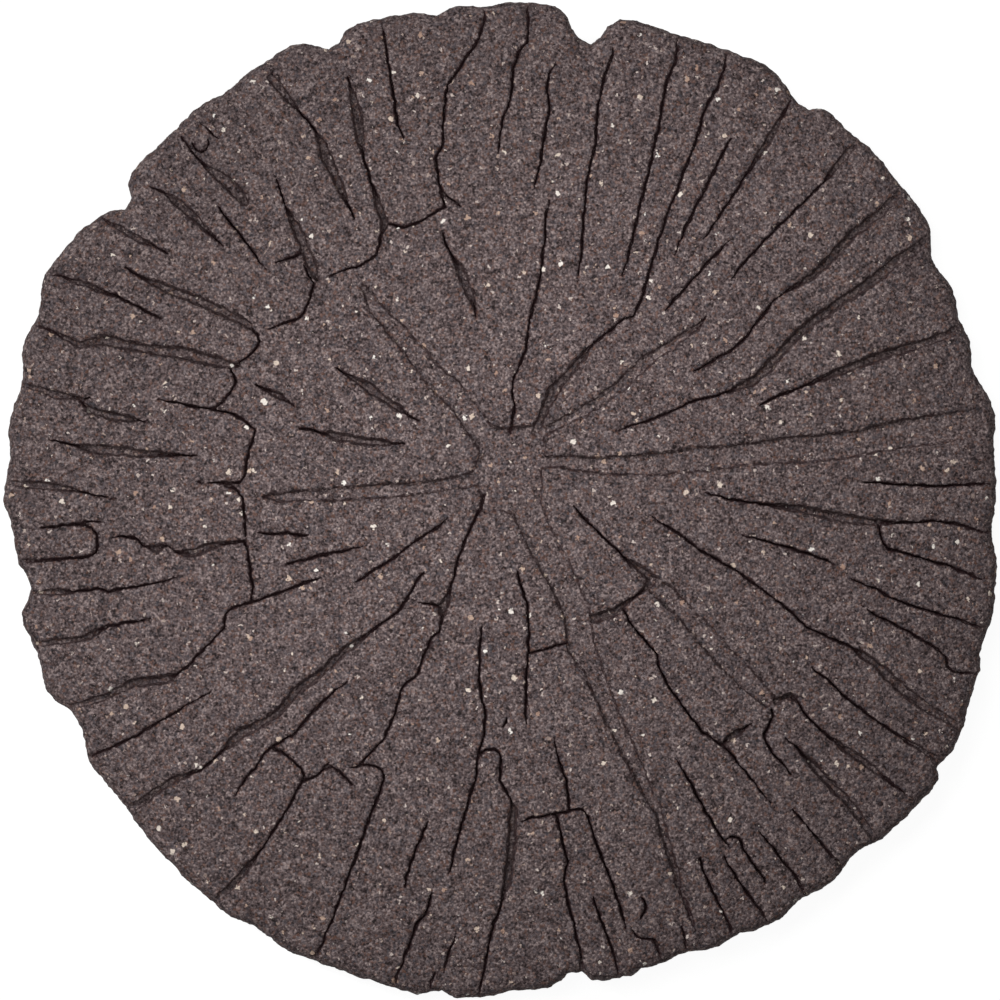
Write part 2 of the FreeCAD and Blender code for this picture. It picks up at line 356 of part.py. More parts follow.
def rim_profile(sheet):
    """The side and rim from the underside up to the flat top, as (inset, height) pairs."""
    rim_top = sheet.thickness - sheet.shoulder_drop
    rim_foot = rim_top - sheet.rim_radius
    profile = [(sheet.under_bevel, 0), (0, sheet.under_bevel)]
    for band in range(RIM_BANDS + 1):
        angle = math.radians(90 * band / RIM_BANDS)
        inset = sheet.rim_radius * (1 - math.cos(angle))
        profile.append((inset, rim_foot + sheet.rim_radius * math.sin(angle)))
    for band in range(1, SHOULDER_BANDS + 1):
        share = band / SHOULDER_BANDS
        inset = sheet.rim_radius + share * (sheet.shoulder_width - sheet.rim_radius)
        profile.append((inset, sheet.thickness - sheet.shoulder_drop * (1 - share) ** 2))
    return profile


def make_blank(doc, sheet, drawing):
    """The stone before its cracks: a bevelled foot, an upright side and a rolled rim."""
    sections = []
    for inset, height in rim_profile(sheet):
        section = doc.addObject("Part::Feature", "outline_section")
        section.Shape = drawing.outline(inset, height)
        sections.append(section)
    blank = doc.addObject("Part::Loft", "blank")
    blank.Sections = sections
    blank.Solid = True
    blank.Ruled = True
    return blank


def add_cutter(doc, name, faces, depth_alias):
    """The faces at the height of the top, merged and made solid down to their depth."""
    plan = doc.addObject("Part::Feature", name + "_plan")
    plan.Shape = faces[0].multiFuse(faces[1:])
    plan.setExpression("Placement.Base.z", "sizes.thickness")
    cutter = doc.addObject("Part::Extrusion", name)
    cutter.Base = plan
    cutter.DirMode = "Custom"
    cutter.Dir = Vector(0, 0, -1)
    cutter.Solid = True
    cutter.setExpression("LengthFwd", f"sizes.{depth_alias}")
    cutter.LengthRev = CUTTER_CLEARANCE
    return cutter


def make_stone(doc, sheet):
    """The stone with the cracks, the channels and the heart cut into its top."""
    drawing = Drawing(sheet.diameter)
    heart = Part.Face(Part.makePolygon([drawing.place(x, y) for x, y in HEART + HEART[:1]]))
    channels = [crack_face(drawing, path) for path in CHANNELS]
    cracks = [crack_face(drawing, slots(sheet, path)) for path in CRACKS]
    cutters = doc.addObject("Part::MultiFuse", "cutters")
    cutters.Shapes = [
        add_cutter(doc, "channels", [heart] + channels, "channel_depth"),
        add_cutter(doc, "cracks", cracks, "crack_depth"),
    ]
    cutters.Refine = True
    stone = doc.addObject("Part::Cut", NODE)
    stone.Base = make_blank(doc, sheet, drawing)
    stone.Tool = cutters
    stone.Label = NODE
    return stone


def check(doc, stone):
    """Stop if any object failed, or if the stone isn't one sound solid with its cracks cut."""
    for item in doc.Objects:
        if "Invalid" in item.State or "Error" in item.State:
            raise RuntimeError(f"{item.Name} failed: {item.State}")
    shape = stone.Shape
    if shape.isNull() or not shape.isValid() or len(shape.Solids) != 1:
        raise RuntimeError("the stone isn't one valid solid")
    if shape.Volume >= stone.Base.Shape.Volume:
        raise RuntimeError("the cracks cut nothing")


def main():
    """Build the stone, check it and write its file."""
    doc = FreeCAD.newDocument("garden_stepping_stone")
    sheet = make_sheet(doc)
    stone = make_stone(doc, sheet)
    doc.recompute()
    check(doc, stone)
    os.makedirs("parts", exist_ok=True)
    stone.Shape.exportStep(f"parts/{NODE}.step")
    box = stone.Shape.BoundBox
    print(f"{NODE}: {box.XLength:.1f} x {box.YLength:.1f} x {box.ZLength:.1f} mm")
    print(f"volume {stone.Shape.Volume / 1e6:.3f} litres, {len(stone.Shape.Faces)} faces")


main()
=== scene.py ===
"""Dresses the stepping stone: rough bonded rubber crumb, pale flecks and drying cracks darkened
with painted shade.
"""

import logging
import math
from dataclasses import dataclass
from enum import Enum

import bpy
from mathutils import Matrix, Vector


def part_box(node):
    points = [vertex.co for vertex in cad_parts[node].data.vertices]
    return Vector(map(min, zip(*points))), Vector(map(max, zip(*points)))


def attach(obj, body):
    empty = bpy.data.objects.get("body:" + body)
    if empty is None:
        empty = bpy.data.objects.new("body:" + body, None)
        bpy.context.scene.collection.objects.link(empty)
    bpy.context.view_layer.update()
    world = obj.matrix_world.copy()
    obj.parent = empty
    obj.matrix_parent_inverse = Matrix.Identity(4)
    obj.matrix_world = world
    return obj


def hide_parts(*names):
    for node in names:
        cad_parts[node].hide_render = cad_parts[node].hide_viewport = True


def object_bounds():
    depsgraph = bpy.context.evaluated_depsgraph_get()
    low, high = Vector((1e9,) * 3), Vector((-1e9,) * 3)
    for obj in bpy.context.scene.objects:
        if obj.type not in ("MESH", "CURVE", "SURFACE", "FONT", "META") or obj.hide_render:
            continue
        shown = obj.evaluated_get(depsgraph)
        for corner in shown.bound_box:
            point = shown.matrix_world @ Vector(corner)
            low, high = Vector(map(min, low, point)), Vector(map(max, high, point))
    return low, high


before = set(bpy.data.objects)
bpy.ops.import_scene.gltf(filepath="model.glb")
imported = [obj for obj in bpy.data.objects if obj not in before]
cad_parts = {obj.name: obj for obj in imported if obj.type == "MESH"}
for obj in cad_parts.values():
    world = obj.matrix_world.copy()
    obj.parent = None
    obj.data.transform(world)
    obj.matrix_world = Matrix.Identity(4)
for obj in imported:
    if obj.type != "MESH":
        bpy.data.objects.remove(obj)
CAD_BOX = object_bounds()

log = logging.getLogger("stepping_stone")

MM = 0.001
Colour = tuple[float, float, float]
Stops = tuple[tuple[float, Colour], ...]
Span = tuple[float, float]
Socket = bpy.types.NodeSocket
WHOLE: Span = (0.0, 1.0)
CLOUD_MIDDLE = (0.5, 0.5, 0.5)
LEVEL_PART = (1, 1, 0)


class Crack(Enum):
    """The parts of a drying crack, by the vertex attribute that marks them for painted shade."""

    FLOOR = "crack_floor"
    BANK = "crack_bank"
    SLOT = "crack_slot"


class NodeBench:
    """Adds and links nodes in one tree.

    The numbers are those of the Mix node's sockets for colours.
    """

    MIX_SHARE = 0
    MIX_FIRST = 6
    MIX_SECOND = 7
    MIX_RESULT = 2

    def __init__(self, tree: bpy.types.NodeTree) -> None:
        """Take a tree and empty it.

        Args:
            tree: the tree that the nodes go into.
        """
        self.tree = tree
        tree.nodes.clear()

    def add(self, kind: str, inputs: dict | None = None, **settings: object) -> bpy.types.Node:
        """Add a node, set its options and fill or link its inputs.

        Args:
            kind: Blender's name of the node type.
            inputs: value or output socket for each input, by the input's name or number.
            **settings: the node's own options.

        Returns:
            The new node.
        """
        node = self.tree.nodes.new(kind)
        for name, value in settings.items():
            setattr(node, name, value)
        for key, value in (inputs or {}).items():
            if isinstance(value, Socket):
                self.tree.links.new(value, node.inputs[key])
            else:
                node.inputs[key].default_value = value
        return node

    def math(self, operation: str, *values: float | Socket) -> Socket:
        """Work out one number from others.

        Args:
            operation: the Math node's operation.
            *values: numbers or sockets, in the node's order.

        Returns:
            The socket with the result.
        """
        return self.add("ShaderNodeMath", dict(enumerate(values)), operation=operation).outputs[0]

    def vector(self, operation: str, *values: tuple | Socket) -> Socket:
        """Work out one vector from others.

        Args:
            operation: the Vector Math node's operation.
            *values: vectors or sockets, in the node's order.

        Returns:
            The socket with the result.
        """
        inputs = dict(enumerate(values))
        return self.add("ShaderNodeVectorMath", inputs, operation=operation).outputs[0]

    def scaled(self, vector: Socket, amount: Socket) -> Socket:
        """Make a vector longer or shorter.

        Args:
            vector: the vector.
            amount: how many times as long it becomes.

        Returns:
            The socket with the new vector.
        """
        inputs = {0: vector, "Scale": amount}
        return self.add("ShaderNodeVectorMath", inputs, operation="SCALE").outputs[0]

    def level(self, vector: Socket) -> Socket:
        """Turn a vector into one of length 1 that lies level.

        Args:
            vector: the vector.

        Returns:
            The socket with the level vector.
        """
        return self.vector("NORMALIZE", self.vector("MULTIPLY", vector, LEVEL_PART))

    def upward(self, vector: Socket) -> Socket:
        """Take the upward part of a vector.

        Args:
            vector: the vector.

        Returns:
            The socket with the number.
        """
        return self.add("ShaderNodeSeparateXYZ", {0: vector}).outputs["Z"]

    def cells(self, place: Socket, size: float, **settings: str) -> bpy.types.Node:
        """Part the space into irregular cells.

        Args:
            place: the coordinates.
            size: about how wide a cell is, in metres.
            **settings: further options of the Voronoi node.

        Returns:
            The Voronoi node.
        """
        return self.add("ShaderNodeTexVoronoi", {"Vector": place, "Scale": 1 / size}, **settings)

    def noise(self, place: Socket, size: float, detail: float) -> bpy.types.Node:
        """Lay a cloudy pattern.

        Args:
            place: the coordinates.
            size: about how wide a cloud is, in metres.
            detail: how many finer layers it has.

        Returns:
            The noise node.
        """
        inputs = {"Vector": place, "Scale": 1 / size, "Detail": detail}
        return self.add("ShaderNodeTexNoise", inputs)

    def shifts(self, place: Socket, size: float, detail: float) -> Socket:
        """Lay a cloudy pattern of vectors about zero.

        Args:
            place: the coordinates.
            size: about how wide a cloud is, in metres.
            detail: how many finer layers it has.

        Returns:
            The socket with the vectors.
        """
        clouds = self.noise(place, size, detail).outputs["Color"]
        return self.vector("SUBTRACT", clouds, CLOUD_MIDDLE)

    def chance(self, cells: bpy.types.Node) -> tuple[Socket, ...]:
        """Draw three random numbers for every cell.

        Args:
            cells: the Voronoi node whose cells draw.

        Returns:
            The sockets with the numbers, each from 0 to 1.
        """
        draw = self.add("ShaderNodeTexWhiteNoise", {"Vector": cells.outputs["Color"]})
        return tuple(self.add("ShaderNodeSeparateXYZ", {0: draw.outputs["Color"]}).outputs)

    def ramp(self, value: Socket, span: Span, start: float, end: float) -> Socket:
        """Carry a number smoothly over to another range.

        Args:
            value: the number to carry over.
            span: where the old range starts and ends.
            start: the new value at the start of the span.
            end: the new value at its end.

        Returns:
            The socket with the new number.
        """
        low, high = span
        inputs = {"Value": value, "From Min": low, "From Max": high, "To Min": start, "To Max": end}
        node = self.add("ShaderNodeMapRange", inputs, interpolation_type="SMOOTHSTEP")
        return node.outputs["Result"]

    def fade(self, value: Socket, span: Span) -> Socket:
        """Mark small numbers with 1 and let the mark fade to 0 over a span.

        Args:
            value: the number.
            span: where the mark starts to fade and where it ends.

        Returns:
            The socket with the mark.
        """
        return self.ramp(value, span, 1.0, 0.0)

    def colours(self, value: Socket, stops: Stops) -> Socket:
        """Turn a number into a colour.

        Args:
            value: the number, from 0 to 1.
            stops: place and colour of each stop, in order.

        Returns:
            The socket with the colour.
        """
        node = self.add("ShaderNodeValToRGB", {"Fac": value})
        elements = node.color_ramp.elements
        elements.remove(elements[0])
        elements[0].position = stops[0][0]
        elements[0].color = (*stops[0][1], 1)
        for place, colour in stops[1:]:
            elements.new(place).color = (*colour, 1)
        return node.outputs["Color"]

    def mix(
        self, share: float | Socket, first: Socket, second: Colour | Socket, blend: str = "MIX"
    ) -> Socket:
        """Mix two colours.

        Args:
            share: share of the second colour.
            first: the colour below.
            second: the colour on top.
            blend: how they are mixed.

        Returns:
            The socket with the mixed colour.
        """
        top = second if isinstance(second, Socket) else (*second, 1)
        inputs = {self.MIX_SHARE: share, self.MIX_FIRST: first, self.MIX_SECOND: top}
        node = self.add("ShaderNodeMix", inputs, data_type="RGBA", blend_type=blend)
        return node.outputs[self.MIX_RESULT]

    def seen_rays(self) -> Socket:
        """Tell the rays that show a surface from those that only light others.

        Returns:
            The socket with 1 for camera, glossy and transmission rays.
        """
        rays = self.add("ShaderNodeLightPath").outputs
        seen = self.math("MAXIMUM", rays["Is Camera Ray"], rays["Is Glossy Ray"])
        return self.math("MAXIMUM", seen, rays["Is Transmission Ray"])


@dataclass(frozen=True)
class CrackShade:
    """How one part of a crack takes painted shade: how much, and over which span its mark sets in.
    """

    crack: Crack
    shade: float
    edge: Span


@dataclass(frozen=True)
class Specks:
    """One kind of speck among the crumb.

    The specks sit in cells. Their radii and soft edge are shares of a cell's width.
    """

    cell: float
    share: float
    least_radius: float
    most_radius: float
    soft_edge: float
    tones: Stops


DARK_PORES = Specks(
    cell=2.3 * MM,
    share=0.55,
    least_radius=0.1,
    most_radius=0.27,
    soft_edge=0.09,
    tones=((0.0, (0.008, 0.005, 0.005)), (1.0, (0.03, 0.021, 0.021))),
)
PALE_GRAINS = Specks(
    cell=3.0 * MM,
    share=0.6,
    least_radius=0.1,
    most_radius=0.29,
    soft_edge=0.1,
    tones=((0.0, (0.23, 0.175, 0.165)), (0.5, (0.36, 0.265, 0.225)), (1.0, (0.68, 0.58, 0.53))),
)
PALE_FLECKS = Specks(
    cell=6.5 * MM,
    share=0.6,
    least_radius=0.07,
    most_radius=0.22,
    soft_edge=0.07,
    tones=(
        (0.0, (0.4, 0.25, 0.19)),
        (0.35, (0.57, 0.41, 0.32)),
        (0.65, (0.78, 0.66, 0.56)),
        (1.0, (0.97, 0.92, 0.86)),
    ),
)


@dataclass(frozen=True)
class CrumbRubber:
    """Bonded rubber crumb: brown-grey grains, black seams and a scatter of pale flecks, with
    painted shade in the cracks.
    """

    clump: float = 2.8 * MM
    crumb: float = 1.15 * MM
    grain: float = 1.12 * MM
    crumb_edge: float = 1.3 * MM
    crumb_push: float = 1.65 * MM
    speck_edge: float = 1.5 * MM
    speck_push: float = 3.3 * MM
    layers: float = 2.0
    tones: Stops = (
        (0.08, (0.014, 0.009, 0.009)),
        (0.3, (0.061, 0.0425, 0.043)),
        (0.52, (0.114, 0.082, 0.082)),
        (0.74, (0.178, 0.134, 0.132)),
        (1.0, (0.34, 0.265, 0.255)),
    )
    least_tone: float = -0.777
    crumb_tone: float = 0.5
    clump_tone: float = 0.31
    grain_tone: float = 1.8
    warm: Colour = (0.19, 0.095, 0.068)
    warm_draw: Span = (0.8, 1.0)
    warm_share: float = 0.5
    cool: Colour = (0.096, 0.092, 0.108)
    cool_draw: Span = (0.0, 0.25)
    cool_share: float = 0.4
    seam: Span = (0.0, 0.16)
    seam_light: float = 0.76
    specks: tuple[Specks, ...] = (DARK_PORES, PALE_GRAINS, PALE_FLECKS)
    # painted shade: the dark colour that crack floors, banks and slots are mixed towards
    crack_shade_colour: Colour = (0.0155, 0.0045, 0.0055)
    # how much painted shade each part of a crack takes, and where its mark sets in
    crack_shades: tuple[CrackShade, ...] = (
        CrackShade(Crack.FLOOR, 0.2, WHOLE),
        CrackShade(Crack.BANK, 0.74, (0.2, 0.75)),
        CrackShade(Crack.SLOT, 0.96, (0.4, 0.95)),
    )
    crumble: float = 1.4
    dull: float = 0.97
    sheen: float = 0.68
    specular: float = 0.2
    bump: float = 0.6 * MM
    bump_strength: float = 0.65
    grain_relief: float = 0.28

    def material(self) -> bpy.types.Material:
        """Make the finish.

        Returns:
            The material, for a piece that has the crack attributes.
        """
        material = bpy.data.materials.new("bonded_rubber_crumb")
        material.use_nodes = True
        bench = NodeBench(material.node_tree)
        place = bench.add("ShaderNodeTexCoord").outputs["Object"]
        ragged = self._pushed(bench, place, self.crumb_edge, self.crumb_push)
        crumbs = bench.cells(ragged, self.crumb)
        grain = bench.noise(place, self.grain, self.layers).outputs["Fac"]
        tone, tint, gloss = bench.chance(crumbs)
        colour = self._crumb_colour(bench, place, tone, tint, grain)
        colour = self._with_seams(bench, ragged, colour)
        torn = self._pushed(bench, place, self.speck_edge, self.speck_push)
        for specks in self.specks:
            colour = self._with_specks(bench, torn, colour, specks)
        # painted shade in the cracks' floors, banks and slots
        colour = self._with_crack_shade(bench, place, colour)
        surface = bench.add(
            "ShaderNodeBsdfPrincipled",
            {
                "Base Color": colour,
                "Roughness": bench.ramp(gloss, WHOLE, self.dull, self.sheen),
                "Specular IOR Level": self.specular,
                "Normal": self._relief(bench, crumbs, grain),
            },
        )
        bench.add("ShaderNodeOutputMaterial", {"Surface": surface.outputs["BSDF"]})
        return material

    def _pushed(self, bench: NodeBench, place: Socket, size: float, push: float) -> Socket:
        """Push the coordinates about, so that what they carry has ragged edges.

        Args:
            bench: where the nodes go.
            place: the plain coordinates.
            size: about how far apart the pushes differ.
            push: full span of the pushes.

        Returns:
            The socket with the pushed coordinates.
        """
        shifts = bench.shifts(place, size, self.layers)
        return bench.vector("MULTIPLY_ADD", shifts, (push,) * 3, place)

    def _crumb_colour(
        self, bench: NodeBench, place: Socket, tone: Socket, tint: Socket, grain: Socket
    ) -> Socket:
        """Give every crumb its own brown, grey or black.

        Args:
            bench: where the nodes go.
            place: the plain coordinates.
            tone: random number of each crumb.
            tint: another random number of each crumb.
            grain: pattern of the finest grain.

        Returns:
            The socket with the colour.
        """
        shared = bench.chance(bench.cells(place, self.clump))[0]
        level = bench.math("MULTIPLY_ADD", tone, self.crumb_tone, self.least_tone)
        level = bench.math("MULTIPLY_ADD", shared, self.clump_tone, level)
        level = bench.math("MULTIPLY_ADD", grain, self.grain_tone, level)
        colour = bench.colours(level, self.tones)
        warmth = bench.ramp(tint, self.warm_draw, 0.0, self.warm_share)
        coolness = bench.ramp(tint, self.cool_draw, self.cool_share, 0.0)
        return bench.mix(coolness, bench.mix(warmth, colour, self.warm), self.cool)

    def _with_seams(self, bench: NodeBench, ragged: Socket, colour: Socket) -> Socket:
        """Darken the seams between the crumbs.

        Args:
            bench: where the nodes go.
            ragged: the coordinates of the crumbs.
            colour: the crumbs' colour.

        Returns:
            The socket with the darkened colour.
        """
        seams = bench.cells(ragged, self.crumb, feature="DISTANCE_TO_EDGE")
        light = bench.ramp(seams.outputs["Distance"], self.seam, self.seam_light, 1.0)
        return bench.mix(1.0, colour, light, "MULTIPLY")

    @staticmethod
    def _with_specks(bench: NodeBench, torn: Socket, colour: Socket, specks: Specks) -> Socket:
        """Scatter one kind of speck among the crumbs.

        Args:
            bench: where the nodes go.
            torn: the coordinates of the specks.
            colour: the colour so far.
            specks: the kind to scatter.

        Returns:
            The socket with the speckled colour.
        """
        cells = bench.cells(torn, specks.cell)
        presence, size, tint = bench.chance(cells)
        radius = bench.ramp(size, WHOLE, specks.least_radius, specks.most_radius)
        inside = bench.math("SUBTRACT", radius, cells.outputs["Distance"])
        cover = bench.ramp(inside, (0.0, specks.soft_edge), 0.0, 1.0)
        present = bench.math("LESS_THAN", presence, specks.share)
        share = bench.math("MULTIPLY", cover, present)
        return bench.mix(share, colour, bench.colours(tint, specks.tones))

    def _with_crack_shade(self, bench: NodeBench, place: Socket, colour: Socket) -> Socket:
        """Lay painted shade in the cracks: a little on floors, more on banks, most in narrow slots.

        Args:
            bench: where the nodes go.
            place: the plain coordinates.
            colour: the colour of the open surface.

        Returns:
            The socket with the darkened colour.
        """
        clouds = bench.noise(place, self.crumb, self.layers).outputs["Fac"]
        crumble = bench.math("MULTIPLY_ADD", clouds, self.crumble, -self.crumble / 2)
        for look in self.crack_shades:
            share = self._shade_share(bench, look, crumble)
            colour = bench.mix(share, colour, self.crack_shade_colour)
        return colour

    @staticmethod
    def _shade_share(bench: NodeBench, look: CrackShade, crumble: Socket) -> Socket:
        """Find how much painted shade one part of a crack lays on the surface, with a crumbly edge.

        Args:
            bench: where the nodes go.
            look: the part, and how much painted shade it takes.
            crumble: what the mark is shifted by, here and there.

        Returns:
            The socket with the share, from 0 to 1.
        """
        mark = bench.add("ShaderNodeAttribute", attribute_name=look.crack.value).outputs["Fac"]
        return bench.ramp(bench.math("ADD", mark, crumble), look.edge, 0.0, look.shade)

    def _relief(self, bench: NodeBench, crumbs: bpy.types.Node, grain: Socket) -> Socket:
        """Raise every crumb into a small dome.

        Args:
            bench: where the nodes go.
            crumbs: pattern of the single crumbs.
            grain: pattern of the finest grain.

        Returns:
            The socket with the surface normal.
        """
        domes = bench.math("SUBTRACT", 1.0, crumbs.outputs["Distance"])
        height = bench.math("MULTIPLY_ADD", grain, self.grain_relief, domes)
        inputs = {"Height": height, "Strength": self.bump_strength, "Distance": self.bump}
        return bench.add("ShaderNodeBump", inputs).outputs["Normal"]


@dataclass
class CrackFinder:
    """Tells, for every point of a fine mesh, how it lies to the cracks of the plain solid.

    A rise is the upward part of a normal, and a span says where a mark fades.
    """

    bench: NodeBench
    solid: bpy.types.Object
    top: float
    upper_share: float = 0.8
    wall_rise: float = 0.05
    floor_rise: float = 0.9999
    least_depth: float = 1 * MM
    slot_step: float = 1.4 * MM
    off_wall: float = 0.3 * MM
    steep: Span = (0.45, 0.9)
    at_wall: Span = (0.2 * MM, 0.85 * MM)
    at_floor: Span = (0.25 * MM, 0.8 * MM)
    deep: Span = (2.4 * MM, 2.9 * MM)
    in_slot: Span = (0.6 * MM, 1.3 * MM)
    far_wall: Span = (0.6 * MM, 1.2 * MM)
    leaning: Span = (0.75, 0.95)
    bank_depth: Span = (0.0, 2 * MM)
    bank_width: float = 1.1 * MM
    slot_closing: float = 0.28 * MM

    def __post_init__(self) -> None:
        """Look up where the point lies, and how far it is from the cracks' walls and floors."""
        self.place = self.bench.add("GeometryNodeInputPosition").outputs[0]
        self.normal = self.bench.add("GeometryNodeInputNormal").outputs[0]
        self.depth = self.bench.math("SUBTRACT", self.top, self.bench.upward(self.place))
        self.rise = self.bench.upward(self.normal)
        walls, floors = self._walls(), self._floors()
        nearest = self._nearest(walls, self.place)
        self.to_wall = nearest["Distance"]
        self.to_floor = self._nearest(floors, self.place)["Distance"]
        across = self._step_across(nearest["Position"])
        self.to_far_wall = self._nearest(walls, across)["Distance"]

    def marks(self) -> dict[Crack, Socket]:
        """Find how much the point belongs to each part of a crack.

        Returns:
            The sockets with the marks, each from 0 to 1.
        """
        bench = self.bench
        steep = bench.fade(self.rise, self.steep)
        at_floor = bench.fade(self.to_floor, self.at_floor)
        floor = bench.math("MULTIPLY", at_floor, bench.ramp(self.depth, self.deep, 0.0, 1.0))
        bank = bench.math("MULTIPLY", steep, bench.fade(self.to_wall, self.at_wall))
        slot = bench.math("MULTIPLY", self._in_slot(), bench.math("MAXIMUM", steep, at_floor))
        return {Crack.FLOOR: floor, Crack.BANK: bank, Crack.SLOT: slot}

    def lean(self) -> Socket:
        """Lean the banks of the wide cracks back, and close the narrow slots a little.

        Returns:
            The socket with the offset.
        """
        bench = self.bench
        half = self.bank_width / 2
        slope = bench.ramp(self.depth, self.bank_depth, -half, half)
        closing = bench.math("SUBTRACT", self.slot_closing, slope)
        amount = bench.math("MULTIPLY_ADD", self._in_slot(), closing, slope)
        on_bank = bench.fade(self.rise, self.leaning)
        on_bank = bench.math("MULTIPLY", on_bank, bench.fade(self.to_wall, self.at_wall))
        amount = bench.math("MULTIPLY", amount, on_bank)
        return bench.scaled(bench.level(self.normal), amount)

    def _in_slot(self) -> Socket:
        """Mark the points between the two walls of a narrow slot."""
        narrow = self.bench.fade(self.to_far_wall, self.far_wall)
        return self.bench.math("MULTIPLY", narrow, self.bench.fade(self.to_wall, self.in_slot))

    def _walls(self) -> Socket:
        """Part the cracks' upright walls from the plain solid."""
        upright = self.bench.math("ABSOLUTE", self.rise)
        return self._faces(self.bench.math("LESS_THAN", upright, self.wall_rise))

    def _floors(self) -> Socket:
        """Part the cracks' level floors from the plain solid.

        Returns:
            The socket with their geometry.
        """
        level = self.bench.math("GREATER_THAN", self.rise, self.floor_rise)
        sunk = self.bench.math("GREATER_THAN", self.depth, self.least_depth)
        return self._faces(self.bench.math("MULTIPLY", level, sunk))

    def _faces(self, choice: Socket) -> Socket:
        """Part some faces near the top from the plain solid.

        Args:
            choice: 1 for the faces to part off.

        Returns:
            The socket with their geometry.
        """
        shape = self.bench.add("GeometryNodeObjectInfo", {"Object": self.solid}).outputs["Geometry"]
        deepest = (1 - self.upper_share) * self.top
        upper = self.bench.math("LESS_THAN", self.depth, deepest)
        inputs = {"Geometry": shape, "Selection": self.bench.math("MULTIPLY", upper, choice)}
        return self.bench.add("GeometryNodeSeparateGeometry", inputs, domain="FACE").outputs[0]

    def _nearest(self, faces: Socket, place: Socket) -> bpy.types.NodeOutputs:
        """Look for the nearest of some faces.

        Args:
            faces: the faces to look among.
            place: where to look from.

        Returns:
            The outputs with the position and the distance.
        """
        inputs = {0: faces, "Source Position": place}
        return self.bench.add("GeometryNodeProximity", inputs, target_element="FACES").outputs

    def _step_across(self, wall: Socket) -> Socket:
        """Step level away from the nearest wall, nearly as far as a narrow slot is wide.

        Args:
            wall: nearest position on a wall.

        Returns:
            The socket with the position that the step reaches.
        """
        bench = self.bench
        away = bench.vector("SUBTRACT", self.place, wall)
        away = bench.vector("MULTIPLY_ADD", self.normal, (self.off_wall,) * 3, away)
        return bench.vector("MULTIPLY_ADD", bench.level(away), (self.slot_step,) * 3, self.place)


